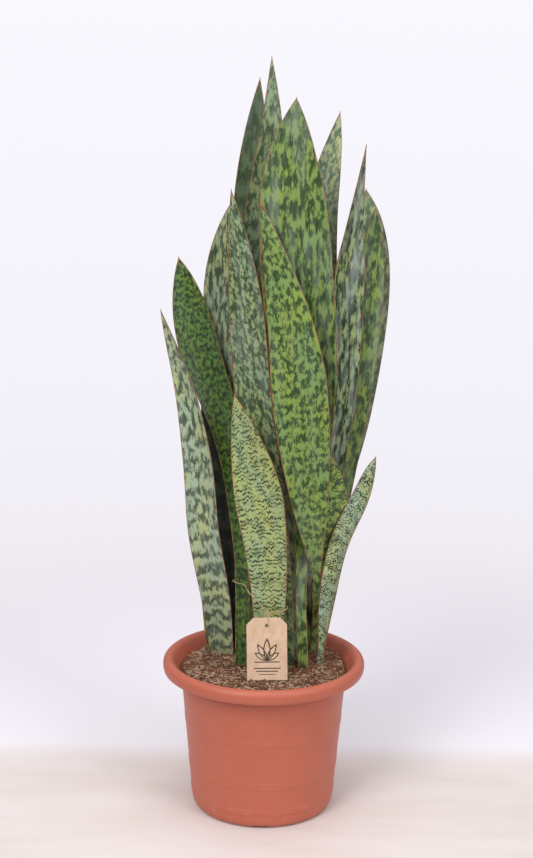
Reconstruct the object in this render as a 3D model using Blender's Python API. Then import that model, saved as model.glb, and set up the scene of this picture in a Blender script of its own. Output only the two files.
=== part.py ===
"""Potted snake plant: stiff upright leaves rising from buried rhizomes in a round plastic pot.

Units are metres, +Z is up, and the origin is the middle of the pot's foot, on the surface that
the pot stands on. -Y is the front. Leaf lines and other hand-set places are written in
millimetres and scaled by MM.
"""

import math

import bmesh
import bpy
from mathutils import Matrix, Vector, noise

MM = 0.001
TOUCH_GAP = 0.3  # mm left between pieces that touch

# Pot (radii and heights in mm)
RIM_RADIUS = 120.0
RIM_TOP = 183.0
RIM_LIP_BOTTOM = 167.0
WALL_TOP_RADIUS = 99.8  # outside of the wall, just under the rim
WALL_FOOT_RADIUS = 85.5  # outside of the wall, just above the rounded foot
FOOT_RADIUS = 78.6
FOOT_RING_WIDTH = 6.4
WALL = 2.2
WALL_BEND = 148.0  # heights where the inside of the wall changes slope
STEP_LEVEL = 153.5
FLARE_LEVEL = 162.0
FLOOR = 2.5
FLOOR_LIFT = 4.0
FLOOR_RADIUS = 78.0  # where the inside of the floor meets the rounded corner
CORNER_RADIUS = 80.6  # the middle of that corner
CORNER_LEVEL = 8.4
PAD_RADIUS = 18.0
POT_SEGMENTS = 56
NOTCH_WIDTH = 18.5
NOTCH_HEIGHT = 3.6
NOTCH_COUNT = 4
NOTCH_START_DEG = -91.5
DRAIN_HOLE_RADIUS = 4.5
DRAIN_CIRCLE_RADIUS = 46.0
DRAIN_COUNT = 8

# Soil
SOIL_LEVEL = 167.5
SOIL_SEGMENTS = 36
SOIL_EDGE_RADIUS = 97.0  # where the soil's lumpy top starts
SOIL_SHOULDER = (99.5, 167.0)  # radius and height where the soil's side meets its top
SOIL_RING_STEP = 16.0
LUMP_HEIGHT = 1.6
LUMP_SIZE = 13.0
MOUNDS = ((40.0, 50.0, 9.0, 34.0), (-20.0, 20.0, 3.0, 40.0))  # x, y, height and spread

# Leaves
FOOT_LEVEL = 150.0  # the buried end of every leaf
LEAF_RINGS = 15
FOOT_THICKNESS = 7.0
BLADE_THICKNESS = 2.4
MARGIN_THICKNESS = 0.2
TIP_THINNING = 0.22
FRONT_COLUMNS = (-0.72, -0.36, 0.0, 0.36, 0.72)
BACK_COLUMNS = (0.55, 0.0, -0.55)
POCKET_CLEARANCE = 0.4
POCKET_TOP = 16.0  # how far above the soil's level a pocket's cutter reaches
POCKET_DEPTH = 2.5  # how far below a leaf's foot its pocket goes, into the room round a rhizome
CHANNEL_BALANCE = 0.35  # share of the channel's depth that lies behind the leaf's middle line
TANGENT_REACH = 6.0  # mm either side over which a leaf's direction is read

# Tag and its string
TAG_WIDTH = 47.0
TAG_HEIGHT = 74.0
TAG_CHAMFER = 8.0
TAG_THICKNESS = 0.7
TAG_HOLE_RADIUS = 2.1
TAG_HOLE_DROP = 9.5
TAG_CENTRE = (3.5, -46.5, 208.0)
TAG_LEAN_DEG = 6.0
TAG_ROLL_DEG = -1.2
STRING_DIAMETER = 1.2
STRING_STEP = 3.0
KNOT_RADIUS = 1.9

KNOT_PLACE = (4.5, -41.8, 251.0)
# The string's route in mm: from the knot, down the tag's front, through its hole, up behind the
# tag, round the two leaves and back to the knot's other side
STRING_ROUTE = (
    (4.6, -43.0, 249.2), (4.4, -45.0, 246.0), (4.2, -46.6, 242.4), (4.2, -47.0, 238.8),
    (4.2, -46.0, 236.4), (4.2, -43.6, 235.4), (4.2, -41.2, 236.4), (4.2, -40.2, 238.8),
    (3.8, -39.4, 243.0), (2.4, -38.2, 248.5), (-1.0, -37.0, 254.5), (-6.5, -36.2, 261.0),
    (-12.5, -35.6, 266.5), (-17.0, -33.6, 270.5), (-20.0, -27.0, 272.5), (-22.0, -17.0, 273.5),
    (-26.5, -9.2, 274.2), (-33.5, -6.6, 275.0), (-37.4, -1.0, 275.6), (-34.0, 4.8, 275.0),
    (-26.0, 6.4, 273.5), (-16.5, 0.0, 270.0), (-8.5, -9.0, 266.0), (1.0, -15.4, 261.0),
    (12.0, -17.6, 256.5), (21.0, -19.6, 253.5), (27.0, -25.0, 252.0), (24.0, -33.6, 251.2),
    (15.0, -38.8, 251.0), (7.2, -41.2, 251.0),
)

LEAF_DARK = (0.030, 0.085, 0.035)
LEAF_MID = (0.055, 0.150, 0.045)
LEAF_LIGHT = (0.130, 0.230, 0.090)

# Every leaf: name, colour, turn of its face in degrees from the front at foot and tip, channel
# depth as a share of the width at foot and tip, its form, and the line of its middle from foot
# to tip as x, y and z. A form is the stalk's width, the blade's greatest width, the heights
# where the blade starts and is widest, and how fully it swells below and holds its width above.
LEAVES = (
    ("leaf_far_left", LEAF_LIGHT, (-12, -32), (0.22, 0.16), (26, 40, 150, 330, 2.0, 2.6), (
        (-48, 42, 150), (-57, 25, 245), (-71, 8, 335), (-77, -5, 415), (-91, -13, 500),
        (-121, -22, 600))),
    ("leaf_left_dark", LEAF_DARK, (-8, 10), (0.20, 0.12), (17, 46, 310, 550, 1.1, 2.4), (
        (-25, -5, 150), (-28, 3, 310), (-42, 9, 440), (-80, 13, 555), (-103, 16, 656))),
    ("leaf_left_broad", LEAF_MID, (-5, 8), (0.20, 0.10), (22, 56, 150, 600, 1.2, 2.3), (
        (-4, 21, 150), (-18, 25, 320), (-47, 26, 600), (-44, 28, 717))),
    ("leaf_folded", LEAF_MID, (0, 14), (0.26, 0.30), (14, 42, 150, 540, 1.9, 2.2), (
        (31, -2, 150), (12, -4, 320), (-16, -10, 495), (-28, -8, 620), (-43, -4, 734))),
    ("leaf_tall_dark", LEAF_DARK, (4, -12), (0.20, 0.12), (19, 46, 150, 600, 1.9, 3.0), (
        (-12, 58, 150), (-18, 56, 600), (-20, 54, 710), (-12, 50, 857))),
    ("leaf_tallest", LEAF_LIGHT, (-4, 6), (0.22, 0.12), (16, 54, 240, 600, 1.6, 1.9), (
        (38, 12, 150), (34, 20, 250), (16, 32, 340), (-5, 39, 460), (-9, 37, 650), (2, 31, 820),
        (1, 30, 880))),
    ("leaf_big_centre", LEAF_MID, (6, -4), (0.24, 0.09), (13, 81, 295, 630, 2.0, 2.9), (
        (48, -9, 150), (43, 0, 290), (46, 11, 345), (46, 8, 440), (41, 1, 540), (30, -7, 670),
        (25, -7, 770), (29, -5, 835))),
    ("leaf_back_grey", LEAF_LIGHT, (10, 18), (0.20, 0.12), (16, 46, 150, 600, 1.3, 3.0), (
        (26, 45, 150), (40, 50, 300), (56, 32, 600), (57, 29, 695), (79, 28, 820))),
    ("leaf_right_sheen", LEAF_MID, (12, 38), (0.22, 0.16), (14, 44, 150, 640, 1.1, 0.8), (
        (45, 41, 150), (62, 40, 300), (87, 18, 505), (91, 8, 650), (108, 8, 784))),
    ("leaf_right_outer", LEAF_MID, (16, 24), (0.22, 0.14), (15, 36, 150, 570, 1.1, 3.4), (
        (54, 62, 150), (78, 54, 300), (112, 33, 550), (121, 25, 714))),
    ("leaf_right_broad", LEAF_DARK, (14, 6), (0.20, 0.10), (17, 53, 150, 600, 1.1, 3.3), (
        (36, 66, 150), (62, 72, 290), (101, 59, 460), (115, 50, 615), (111, 45, 734))),
    ("leaf_front_tall", LEAF_LIGHT, (14, -10), (0.24, -0.10), (10, 64, 290, 505, 1.8, 1.6), (
        (60, 37, 150), (61, 5, 280), (55, -16, 340), (44, -26, 440), (30, -28, 560),
        (-10, -20, 724))),
    ("leaf_front_short", LEAF_LIGHT, (0, -16), (0.20, 0.10), (24, 57, 170, 380, 1.1, 1.8), (
        (5, -20, 150), (3, -30, 310), (-7, -33, 385), (-37, -36, 507))),
    ("leaf_right_bright", LEAF_LIGHT, (8, 24), (0.22, 0.14), (12, 32, 290, 365, 1.3, 1.8), (
        (73, 48, 150), (63, 20, 285), (79, -2, 350), (77, -8, 432))),
    ("leaf_far_right", LEAF_LIGHT, (-35, -40), (0.30, 0.24), (9, 25, 200, 330, 2.6, 4.0), (
        (66, 2, 150), (75, 0, 245), (89, -6, 325), (115, -9, 390), (127, -10, 431))),
    ("leaf_left_shaded", LEAF_DARK, (-6, 4), (0.20, 0.12), (16, 38, 200, 480, 1.5, 3.0), (
        (-31, 53, 150), (-54, 49, 365), (-62, 46, 632))),
    ("leaf_back_left", LEAF_MID, (196, 170), (0.22, 0.10), (17, 34, 150, 330, 2.0, 2.0), (
        (-60, 60, 150), (-66, 80, 350), (-66, 86, 470))),
    ("leaf_back_centre", LEAF_MID, (184, 168), (0.22, 0.10), (19, 50, 150, 470, 1.3, 2.6), (
        (-2, 76, 150), (-8, 93, 470), (-12, 90, 640))),
    ("leaf_back_right", LEAF_LIGHT, (165, 150), (0.22, 0.10), (17, 40, 150, 390, 1.6, 2.1), (
        (23, 72, 150), (58, 90, 390), (77, 87, 530))),
)

# Each rhizome: name and the line of its middle in mm, lying under the feet of its leaves
RHIZOMES = (
    ("rhizome_left", ((-60, 60), (-46, 48), (-26, 36), (-6, 24))),
    ("rhizome_front", ((-28, -5), (0, -13), (28, -12), (66, -3))),
    ("rhizome_back", ((-16, 60), (2, 62), (24, 72))),
    ("rhizome_right", ((36, 18), (42, 34), (52, 47), (66, 50))),
)
RHIZOME_RADIUS = 10.0


def remove_everything():
    """Empty the scene."""
    for leftover in list(bpy.data.objects):
        bpy.data.objects.remove(leftover, do_unlink=True)


def plain_material(name, colour, roughness):
    """A Principled BSDF material of one colour."""
    material = bpy.data.materials.new(name)
    material.use_nodes = True
    shader = material.node_tree.nodes["Principled BSDF"]
    shader.inputs["Base Color"].default_value = (*colour, 1.0)
    shader.inputs["Roughness"].default_value = roughness
    shader.inputs["Metallic"].default_value = 0.0
    material.diffuse_color = (*colour, 1.0)
    return material


def add_object(name, bm, material=None, smooth_angle_deg=35.0):
    """Turn a bmesh into a named object, shaded smooth up to an angle."""
    bmesh.ops.recalc_face_normals(bm, faces=bm.faces[:])
    mesh = bpy.data.meshes.new(name)
    bm.to_mesh(mesh)
    bm.free()
    mesh.shade_smooth()
    mesh.set_sharp_from_angle(angle=math.radians(smooth_angle_deg))
    if material is not None:
        mesh.materials.append(material)
    piece = bpy.data.objects.new(name, mesh)
    bpy.context.scene.collection.objects.link(piece)
    return piece


def mark_as_cutter(piece):
    """Keep a cutter out of the model."""
    piece.hide_render = True
    piece.display_type = "WIRE"


def cut(piece, cutter, label):
    """Subtract one cutter from a piece."""
    mark_as_cutter(cutter)
    boolean = piece.modifiers.new(label, "BOOLEAN")
    boolean.operation = "DIFFERENCE"
    boolean.solver = "EXACT"
    boolean.object = cutter


def lathe(outline, segments):
    """Turn an outline of (radius, height) in mm, whose two ends lie on the axis, about Z."""
    bm = bmesh.new()
    rings = []
    for radius, height in outline:
        if radius == 0.0:
            rings.append([bm.verts.new((0.0, 0.0, height * MM))])
            continue
        ring = []
        for step in range(segments):
            turn = math.tau * step / segments
            place = (radius * math.cos(turn), radius * math.sin(turn), height)
            ring.append(bm.verts.new(Vector(place) * MM))
        rings.append(ring)
    for below, above in zip(rings, rings[1:]):
        join_rings(bm, below, above)
    return bm


def join_rings(bm, below, above):
    """Bridge two closed rings; either may be a single vertex."""
    count = max(len(below), len(above))
    for step in range(count):
        after = (step + 1) % count
        if len(below) == 1:
            bm.faces.new((below[0], above[after], above[step]))
        elif len(above) == 1:
            bm.faces.new((below[step], below[after], above[0]))
        else:
            bm.faces.new((below[step], below[after], above[after], above[step]))


def distances_along(points):
    """How far along the line of points each one lies."""
    travelled = [0.0]
    for before, after in zip(points, points[1:]):
        step = (Vector(after) - Vector(before)).length
        travelled.append(travelled[-1] + step)
    return travelled


def slope_at(points, knots, row):
    """Slopes of a smooth curve at one of its points."""
    last = len(points) - 1
    if row == 0 or row == last:
        near = 0 if row == 0 else last - 1
        gap = knots[near + 1] - knots[near]
        return [(b - a) / gap for a, b in zip(points[near], points[near + 1])]
    gap_in = knots[row] - knots[row - 1]
    gap_out = knots[row + 1] - knots[row]
    slopes = []
    for before, here, after in zip(points[row - 1], points[row], points[row + 1]):
        slope_in = (here - before) / gap_in
        slope_out = (after - here) / gap_out
        slopes.append((slope_in * gap_out + slope_out * gap_in) / (gap_in + gap_out))
    return slopes


def smooth_through(points, knots, distance):
    """Read a smooth curve through rows of numbers at a distance along it."""
    first = 0
    while first < len(points) - 2 and knots[first + 1] < distance:
        first += 1
    gap = knots[first + 1] - knots[first]
    share = (distance - knots[first]) / gap
    slopes_in = slope_at(points, knots, first)
    slopes_out = slope_at(points, knots, first + 1)
    values = []
    for start, end, slope_in, slope_out in zip(
            points[first], points[first + 1], slopes_in, slopes_out):
        cube = 2 * start - 2 * end + (slope_in + slope_out) * gap
        square = 3 * end - 3 * start - (2 * slope_in + slope_out) * gap
        values.append(((cube * share + square) * share + slope_in * gap) * share + start)
    return values


def inner_wall_radius(height):
    """Inside radius of the pot's straight wall at a height, in mm."""
    share = (height - 14.0) / (160.0 - 14.0)
    return WALL_FOOT_RADIUS + (WALL_TOP_RADIUS - 1.6 - WALL_FOOT_RADIUS) * share - WALL


def pot_outline():
    """Half section of the pot, from the middle of its foot round the outside to the inside."""
    foot_inner = FOOT_RADIUS - FOOT_RING_WIDTH
    floor_top = FLOOR_LIFT + FLOOR
    underside = [
        (0.0, 0.0), (PAD_RADIUS, 0.0), (PAD_RADIUS + 1.5, FLOOR_LIFT),
        (foot_inner - 1.5, FLOOR_LIFT), (foot_inner, 0.0),
    ]
    outside = [
        (FOOT_RADIUS, 0.0), (FOOT_RADIUS + 2.6, 1.4), (FOOT_RADIUS + 4.8, 4.2),
        (FOOT_RADIUS + 6.2, 8.6), (WALL_FOOT_RADIUS, 14.0),
        (inner_wall_radius(95.0) + WALL, 95.0), (inner_wall_radius(151.0) + WALL, 151.0),
        (WALL_TOP_RADIUS - 0.4, 153.0), (WALL_TOP_RADIUS, 155.0), (WALL_TOP_RADIUS + 0.5, 164.0),
    ]
    roll = [
        (103.2, 168.5), (107.0, 175.0), (110.6, 179.2), (114.4, 180.4), (117.4, 177.8),
        (117.4, 172.0), (115.8, 168.4), (117.4, RIM_LIP_BOTTOM), (119.5, 170.4),
        (RIM_RADIUS, 174.8), (118.9, 179.6), (115.8, 182.5), (112.0, RIM_TOP),
        (108.4, 180.8),
    ]
    inside = [
        (105.0, 176.0), (100.6, 168.4), (WALL_TOP_RADIUS - 2.0, FLARE_LEVEL),
        (WALL_TOP_RADIUS - 2.6, STEP_LEVEL), (inner_wall_radius(WALL_BEND), WALL_BEND),
        (inner_wall_radius(60.0), 60.0), (inner_wall_radius(14.0), 14.0),
        (CORNER_RADIUS, CORNER_LEVEL), (FLOOR_RADIUS, floor_top), (PAD_RADIUS + 3.0, floor_top),
        (PAD_RADIUS + 1.2, FLOOR), (0.0, FLOOR),
    ]
    return underside + outside + roll + inside


def box_bmesh(size, place):
    """A box of a size in mm, moved by a 4x4 matrix in metres."""
    bm = bmesh.new()
    bmesh.ops.create_cube(bm, size=1.0)
    scale = Matrix.Diagonal((*(Vector(size) * MM), 1.0))
    bmesh.ops.transform(bm, matrix=place @ scale, verts=bm.verts[:])
    return bm


def build_pot():
    """The pot: tapered wall, rolled rim open below, drained floor and notched foot ring."""
    terracotta = plain_material("terracotta_plastic", (0.50, 0.135, 0.070), 0.45)
    pot = add_object("pot", lathe(pot_outline(), POT_SEGMENTS), terracotta)
    notch_reach = 26.0
    notch_radius = FOOT_RADIUS + 1.0
    for number in range(NOTCH_COUNT):
        turn = math.radians(NOTCH_START_DEG + 360.0 / NOTCH_COUNT * number)
        out = Vector((math.cos(turn), math.sin(turn), 0.0)) * notch_radius * MM
        place = Matrix.Translation(out) @ Matrix.Rotation(turn, 4, "Z")
        notch_size = (notch_reach, NOTCH_WIDTH, 2 * NOTCH_HEIGHT)
        notch = add_object(f"cutter_notch_{number + 1}", box_bmesh(notch_size, place))
        cut(pot, notch, f"notch_{number + 1}")
    for number in range(DRAIN_COUNT):
        turn = math.tau * (number + 0.5) / DRAIN_COUNT
        bm = bmesh.new()
        bmesh.ops.create_cone(
            bm, cap_ends=True, segments=16, radius1=DRAIN_HOLE_RADIUS * MM,
            radius2=DRAIN_HOLE_RADIUS * MM, depth=4 * FLOOR * MM)
        middle = Vector((math.cos(turn), math.sin(turn), 0.0)) * DRAIN_CIRCLE_RADIUS
        middle.z = FLOOR_LIFT + FLOOR / 2
        bmesh.ops.translate(bm, vec=middle * MM, verts=bm.verts[:])
        hole = add_object(f"cutter_drain_{number + 1}", bm)
        cut(pot, hole, f"drain_{number + 1}")
    return pot


def soil_height(x, y):
    """Height of the potting mix in mm: low mounds round the leaves, with lumps."""
    mound = 0.0
    for mound_x, mound_y, height, spread in MOUNDS:
        away = (x - mound_x) ** 2 + (y - mound_y) ** 2
        mound += height * math.exp(-away / (2 * spread ** 2))
    lump = noise.noise(Vector((x / LUMP_SIZE, y / LUMP_SIZE, 3.7)))
    lump += 0.5 * noise.noise(Vector((x / LUMP_SIZE * 2.1, y / LUMP_SIZE * 2.1, 9.1)))
    return SOIL_LEVEL + mound + LUMP_HEIGHT * lump


def build_soil():
    """The potting mix: fills the pot to just under its rim, with a pocket for each leaf."""
    bm = bmesh.new()
    floor_top = FLOOR_LIFT + FLOOR + TOUCH_GAP
    side_gap = TOUCH_GAP + 0.1
    sides = [
        (0.0, FLOOR + TOUCH_GAP), (PAD_RADIUS, FLOOR + TOUCH_GAP), (PAD_RADIUS + 2.2, floor_top),
        (FLOOR_RADIUS - 0.6, floor_top), (CORNER_RADIUS - 0.7, CORNER_LEVEL + 0.8),
        (inner_wall_radius(15.0) - side_gap, 15.0), (inner_wall_radius(60.0) - side_gap, 60.0),
        (inner_wall_radius(WALL_BEND) - side_gap, WALL_BEND),
        (WALL_TOP_RADIUS - 2.6 - side_gap, STEP_LEVEL),
        (WALL_TOP_RADIUS - 2.0 - side_gap, FLARE_LEVEL), SOIL_SHOULDER,
    ]
    rings = []
    for radius, height in sides:
        if radius == 0.0:
            rings.append([bm.verts.new((0.0, 0.0, height * MM))])
        else:
            rings.append(circle_of_verts(bm, radius, lambda x, y, level=height: level))
    top_radius = SOIL_EDGE_RADIUS
    while top_radius > SOIL_RING_STEP / 2:
        rings.append(circle_of_verts(bm, top_radius, soil_height))
        top_radius -= SOIL_RING_STEP
    rings.append([bm.verts.new(Vector((0.0, 0.0, soil_height(0.0, 0.0))) * MM)])
    for below, above in zip(rings, rings[1:]):
        join_rings(bm, below, above)
    bmesh.ops.triangulate(bm, faces=bm.faces[:])
    mix = plain_material("potting_mix", (0.085, 0.036, 0.020), 0.95)
    return add_object("soil", bm, mix, smooth_angle_deg=50.0)


def circle_of_verts(bm, radius, height_at):
    """A ring of soil vertices at a radius, at the height that height_at gives."""
    ring = []
    for step in range(SOIL_SEGMENTS):
        turn = math.tau * step / SOIL_SEGMENTS
        x = radius * math.cos(turn)
        y = radius * math.sin(turn)
        ring.append(bm.verts.new(Vector((x, y, height_at(x, y))) * MM))
    return ring


def leaf_thickness(share):
    """Thickness of a leaf in mm, from its fleshy foot to its thin tip."""
    blade = BLADE_THICKNESS * share * (1.0 - TIP_THINNING * share)
    return FOOT_THICKNESS * (1.0 - share) ** 1.2 + blade + MARGIN_THICKNESS


def blade_width(form, height, top):
    """Width of a leaf in mm at a height: its stalk, its swelling blade and its tapering tip."""
    stalk, widest, start, middle, swell, hold = form
    if height > middle:
        return widest * (1.0 - min((height - middle) / (top - middle), 1.0) ** hold)
    rise = max((height - start) / (middle - start), 0.0)
    return stalk + (widest - stalk) * (1.0 - (1.0 - rise) ** swell)


def leaf_section(line, faces, channels, form, share):
    """Centre, across, outward, width and channel of a leaf at a share of its length."""
    knots = distances_along(line)
    distance = share * knots[-1]
    centre = Vector(smooth_through(line, knots, distance))
    ahead = smooth_through(line, knots, min(distance + TANGENT_REACH, knots[-1]))
    behind = smooth_through(line, knots, max(distance - TANGENT_REACH, 0.0))
    along = (Vector(ahead) - Vector(behind)).normalized()
    turn = math.radians(faces[0] + (faces[1] - faces[0]) * share)
    facing = Vector((math.sin(turn), -math.cos(turn), 0.0))
    across = along.cross(facing).normalized()
    facing = across.cross(along).normalized()
    channel = channels[0] + (channels[1] - channels[0]) * share
    return centre, across, facing, blade_width(form, centre.z, line[-1][2]), channel


def leaf_ring(line, faces, channels, form, share, grow=0.0):
    """Points round one section of a leaf. grow makes it larger all round, for a cutter."""
    centre, across, facing, width, channel = leaf_section(line, faces, channels, form, share)
    thickness = min(leaf_thickness(share), 0.45 * width + 0.1)

    def at(column, side):
        bend = channel * width * (column * column - CHANNEL_BALANCE)
        half_thick = thickness / 2 * math.sqrt(max(1.0 - column * column, 0.0)) + grow
        if abs(column) == 1.0 and grow == 0.0:
            half_thick = 0.0
        half_width = width / 2 + grow
        return centre + across * (half_width * column) + facing * (bend + side * half_thick)

    ring = [at(-1.0, 1)]
    ring.extend(at(column, 1) for column in FRONT_COLUMNS)
    ring.append(at(1.0, 1))
    if grow > 0.0:
        ring.append(at(1.0, -1))
    ring.extend(at(column, -1) for column in BACK_COLUMNS)
    if grow > 0.0:
        ring.append(at(-1.0, -1))
    return ring


def leaf_shares():
    """Where a leaf's rings lie, closer together towards the tip."""
    shares = []
    for number in range(LEAF_RINGS):
        even = number / LEAF_RINGS
        shares.append(1.0 - (1.0 - even) ** 1.15)
    return shares


def build_leaf(name, colour, faces, channels, form, line):
    """One leaf: a tapering, channelled blade whose foot is buried."""
    bm = bmesh.new()
    rings = []
    for share in leaf_shares():
        points = leaf_ring(line, faces, channels, form, share)
        rings.append([bm.verts.new(point * MM) for point in points])
    rings.append([bm.verts.new(Vector(line[-1]) * MM)])
    bm.faces.new(list(reversed(rings[0])))
    for below, above in zip(rings, rings[1:]):
        join_rings(bm, below, above)
    bmesh.ops.triangulate(bm, faces=bm.faces[:])
    return add_object(name, bm, plain_material(name, colour, 0.4), smooth_angle_deg=60.0)


def build_leaf_pocket(name, faces, channels, form, line):
    """The cutter that leaves room in the soil for a leaf's foot."""
    bm = bmesh.new()
    rings = []
    for share in leaf_shares():
        points = leaf_ring(line, faces, channels, form, share, grow=POCKET_CLEARANCE)
        if not rings:
            lowered = [point - Vector((0.0, 0.0, POCKET_DEPTH)) for point in points]
            rings.append([bm.verts.new(point * MM) for point in lowered])
        rings.append([bm.verts.new(point * MM) for point in points])
        if min(point.z for point in points) > SOIL_LEVEL + POCKET_TOP:
            break
    bm.faces.new(list(reversed(rings[0])))
    bm.faces.new(rings[-1])
    for below, above in zip(rings, rings[1:]):
        join_rings(bm, below, above)
    bmesh.ops.triangulate(bm, faces=bm.faces[:])
    return add_object("cutter_" + name, bm)


def smooth_route(points, spacing):
    """Points a given distance apart on a smooth curve through hand-set points."""
    knots = distances_along(points)
    count = max(round(knots[-1] / spacing), 2)
    return [Vector(smooth_through(points, knots, knots[-1] * number / count))
            for number in range(count + 1)]


def tube(name, route, radius, material, sides_setting):
    """A round tube along a route in mm, with closed ends."""
    curve = bpy.data.curves.new(name, "CURVE")
    curve.dimensions = "3D"
    curve.bevel_depth = radius * MM
    curve.bevel_resolution = sides_setting
    curve.use_fill_caps = True
    spline = curve.splines.new("POLY")
    spline.points.add(len(route) - 1)
    for point, place in zip(spline.points, route):
        point.co = (*(place * MM), 1.0)
    if material is not None:
        curve.materials.append(material)
    piece = bpy.data.objects.new(name, curve)
    bpy.context.scene.collection.objects.link(piece)
    return piece


def rhizome_bmesh(line, radius):
    """A lying rhizome: a round body that swells and narrows along its line."""
    level = FOOT_LEVEL - 0.5 - RHIZOME_RADIUS
    rows = [(x, y, level) for x, y in line]
    route = smooth_route(rows, 8.0)
    sides = 10
    bm = bmesh.new()
    rings = []
    last = len(route) - 1
    grow = radius - RHIZOME_RADIUS
    for number, place in enumerate(route):
        along = (route[min(number + 1, last)] - route[max(number - 1, 0)]).normalized()
        if number == 0:
            place = place - along * grow
        elif number == last:
            place = place + along * grow
        across = along.cross(Vector((0.0, 0.0, 1.0))).normalized()
        up = across.cross(along)
        shape = 0.55 if number in (0, last) else 1.0
        size = RHIZOME_RADIUS * shape + grow
        ring = []
        for side in range(sides):
            turn = math.tau * side / sides
            spot = place + across * (size * math.cos(turn)) + up * (size * math.sin(turn))
            ring.append(bm.verts.new(spot * MM))
        rings.append(ring)
    bm.faces.new(rings[0])
    bm.faces.new(rings[-1])
    for below, above in zip(rings, rings[1:]):
        join_rings(bm, below, above)
    bmesh.ops.triangulate(bm, faces=bm.faces[:])
    return bm


def tag_matrix():
    """Where the tag hangs: leaning back a little, and turned a little."""
    lean = Matrix.Rotation(math.radians(-TAG_LEAN_DEG), 4, "X")
    roll = Matrix.Rotation(math.radians(TAG_ROLL_DEG), 4, "Y")
    return Matrix.Translation(Vector(TAG_CENTRE) * MM) @ lean @ roll


def build_tag():
    """A card tag with two cut corners and a punched hole."""
    half_width = TAG_WIDTH / 2
    half_height = TAG_HEIGHT / 2
    corners = (
        (-half_width, -half_height), (half_width, -half_height),
        (half_width, half_height - TAG_CHAMFER), (half_width - TAG_CHAMFER, half_height),
        (-half_width + TAG_CHAMFER, half_height), (-half_width, half_height - TAG_CHAMFER),
    )
    bm = bmesh.new()
    front = [bm.verts.new(Vector((x, -TAG_THICKNESS / 2, z)) * MM) for x, z in corners]
    face = bm.faces.new(front)
    sweep = bmesh.ops.extrude_face_region(bm, geom=[face])
    moved = [item for item in sweep["geom"] if isinstance(item, bmesh.types.BMVert)]
    bmesh.ops.translate(bm, vec=(0.0, TAG_THICKNESS * MM, 0.0), verts=moved)
    bmesh.ops.transform(bm, matrix=tag_matrix(), verts=bm.verts[:])
    tag = add_object("tag", bm, plain_material("kraft_card", (0.72, 0.47, 0.30), 0.85))
    hole = bmesh.new()
    bmesh.ops.create_cone(
        hole, cap_ends=True, segments=20, radius1=TAG_HOLE_RADIUS * MM,
        radius2=TAG_HOLE_RADIUS * MM, depth=6 * MM)
    lift = Matrix.Translation(Vector((0.0, 0.0, half_height - TAG_HOLE_DROP)) * MM)
    upright = Matrix.Rotation(math.radians(90.0), 4, "X")
    bmesh.ops.transform(hole, matrix=tag_matrix() @ lift @ upright, verts=hole.verts[:])
    cut(tag, add_object("cutter_tag_hole", hole), "punched_hole")
    return tag


def build_string():
    """The string: from its knot down through the tag's hole, then round two leaves and back."""
    twine = plain_material("twine", (0.62, 0.50, 0.30), 0.9)
    route = smooth_route(STRING_ROUTE, STRING_STEP)
    tube("tag_string", route, STRING_DIAMETER / 2, twine, 2)
    bm = bmesh.new()
    bmesh.ops.create_icosphere(bm, subdivisions=2, radius=KNOT_RADIUS * MM)
    for vert in bm.verts:
        swell = 1.0 + 0.12 * math.sin(vert.co.x * 2600.0) * math.cos(vert.co.z * 2200.0)
        vert.co = vert.co * swell + Vector(KNOT_PLACE) * MM
    add_object("string_knot", bm, twine, smooth_angle_deg=60.0)


def main():
    """Build every piece."""
    remove_everything()
    build_pot()
    soil = build_soil()
    for name, colour, faces, channels, form, line in LEAVES:
        build_leaf(name, colour, faces, channels, form, line)
        cut(soil, build_leaf_pocket(name, faces, channels, form, line), name)
    buried = plain_material("rhizome", (0.62, 0.40, 0.22), 0.7)
    for name, line in RHIZOMES:
        add_object(name, rhizome_bmesh(line, RHIZOME_RADIUS), buried)
        cutter = add_object("cutter_" + name, rhizome_bmesh(line, RHIZOME_RADIUS + POCKET_CLEARANCE))
        cut(soil, cutter, name)
    build_tag()
    build_string()


main()
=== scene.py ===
"""The looks of the potted snake plant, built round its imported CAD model.

Metres, +Z up, -Y the front. Lengths in millimetres are scaled by MM. Leaf patterns are drawn in
each leaf's own millimetres: across the blade, and along it from the foot.
"""

import math
import random

import bmesh
import bpy
import numpy as np
from mathutils import Euler, Matrix, Vector, noise
from mathutils.bvhtree import BVHTree


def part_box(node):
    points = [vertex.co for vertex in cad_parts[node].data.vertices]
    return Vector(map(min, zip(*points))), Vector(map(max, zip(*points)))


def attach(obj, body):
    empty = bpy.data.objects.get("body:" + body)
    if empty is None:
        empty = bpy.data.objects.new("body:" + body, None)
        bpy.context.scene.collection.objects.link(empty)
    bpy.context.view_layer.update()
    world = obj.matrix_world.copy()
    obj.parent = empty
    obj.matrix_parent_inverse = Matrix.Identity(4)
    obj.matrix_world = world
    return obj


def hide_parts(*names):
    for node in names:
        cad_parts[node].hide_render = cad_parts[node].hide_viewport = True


MM = 0.001
BODY = "root"

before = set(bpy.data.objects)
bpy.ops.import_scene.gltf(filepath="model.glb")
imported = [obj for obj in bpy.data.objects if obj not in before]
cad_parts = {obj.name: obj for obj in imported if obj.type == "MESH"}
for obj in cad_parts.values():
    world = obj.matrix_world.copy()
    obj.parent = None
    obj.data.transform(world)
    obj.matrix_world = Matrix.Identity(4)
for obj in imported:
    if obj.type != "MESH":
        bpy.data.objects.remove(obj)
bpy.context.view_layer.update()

# Camera
CAMERA_PLACE = (0.0, -1.70, 0.816)
CAMERA_PITCH = 0.207
CAMERA_ROLL = 0.012
CAMERA_LENS = 63.0

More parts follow.
